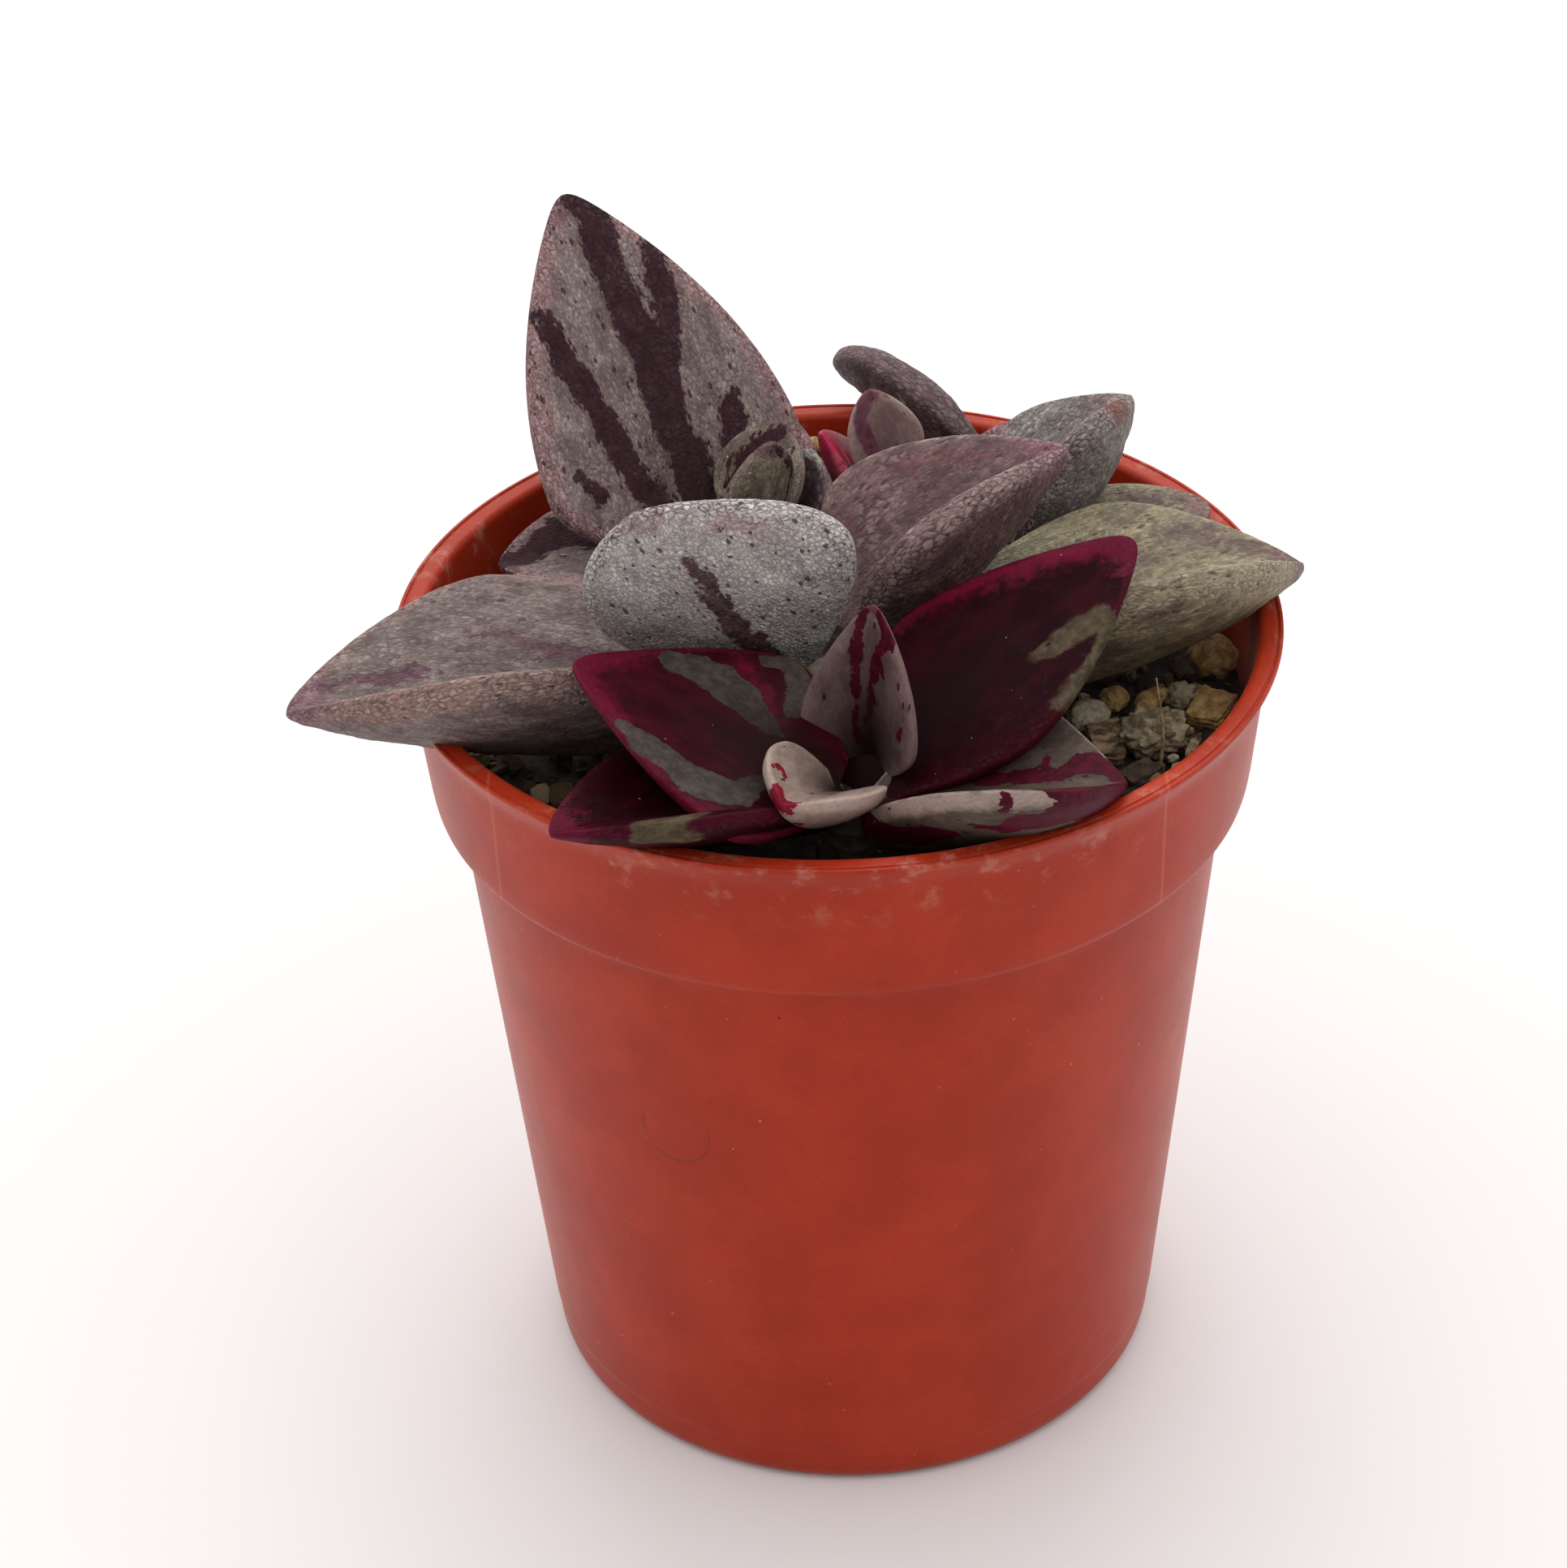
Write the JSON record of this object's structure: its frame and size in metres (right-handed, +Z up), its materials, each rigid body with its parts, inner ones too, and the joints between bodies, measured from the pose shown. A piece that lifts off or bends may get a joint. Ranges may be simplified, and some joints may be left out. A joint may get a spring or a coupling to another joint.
{
  "type": "potted lenophyllum",
  "caption": "Small terracotta-coloured plastic pot of gritty mix, with offsets of thick, pointed, channelled leaves in mottled grey and crimson.",
  "frame": {"origin": "centre of the pot's flat underside", "axes": "+Z up along the pot's axis, -Y towards the side that shows the front offset, +X to the right as seen from there"},
  "size_m": [0.0618, 0.0565, 0.0719],
  "materials": {
    "terracotta_plastic": "satin",
    "potting_mix": "matte",
    "stem": "matte",
    "old_leaf": "matte",
    "young_leaf": "satin"
  },
  "bodies": {
    "root": {"pot": "terracotta_plastic", "soil": "potting_mix", "stem_middle": "stem", "stem_rear_left": "stem", "stem_right": "stem", "stem_rear": "stem", "stem_front": "stem", "leaf_middle_left": "old_leaf", "leaf_middle_right": "old_leaf", "leaf_middle_long_right": "old_leaf", "leaf_middle_long_left": "old_leaf", "leaf_right_upper": "old_leaf", "leaf_right_side": "old_leaf", "leaf_right_inner": "old_leaf", "leaf_tall": "old_leaf", "leaf_rear_left_inner_near": "old_leaf", "leaf_rear_left_inner_far": "old_leaf", "leaf_rear_left_inner_right": "old_leaf", "leaf_rear_left_side": "old_leaf", "leaf_rear_left_low": "old_leaf", "leaf_rear_wide": "old_leaf", "leaf_rear_low_right": "old_leaf", "leaf_rear_low_far": "old_leaf", "leaf_front_centre_near": "young_leaf", "leaf_front_centre_far": "young_leaf", "leaf_front_left": "young_leaf", "leaf_front_low_right": "young_leaf", "leaf_front_right": "young_leaf", "leaf_front_low_left": "young_leaf", "leaf_rear_centre": "young_leaf", "leaf_rear_near": "young_leaf"}
  },
  "joints": []
}
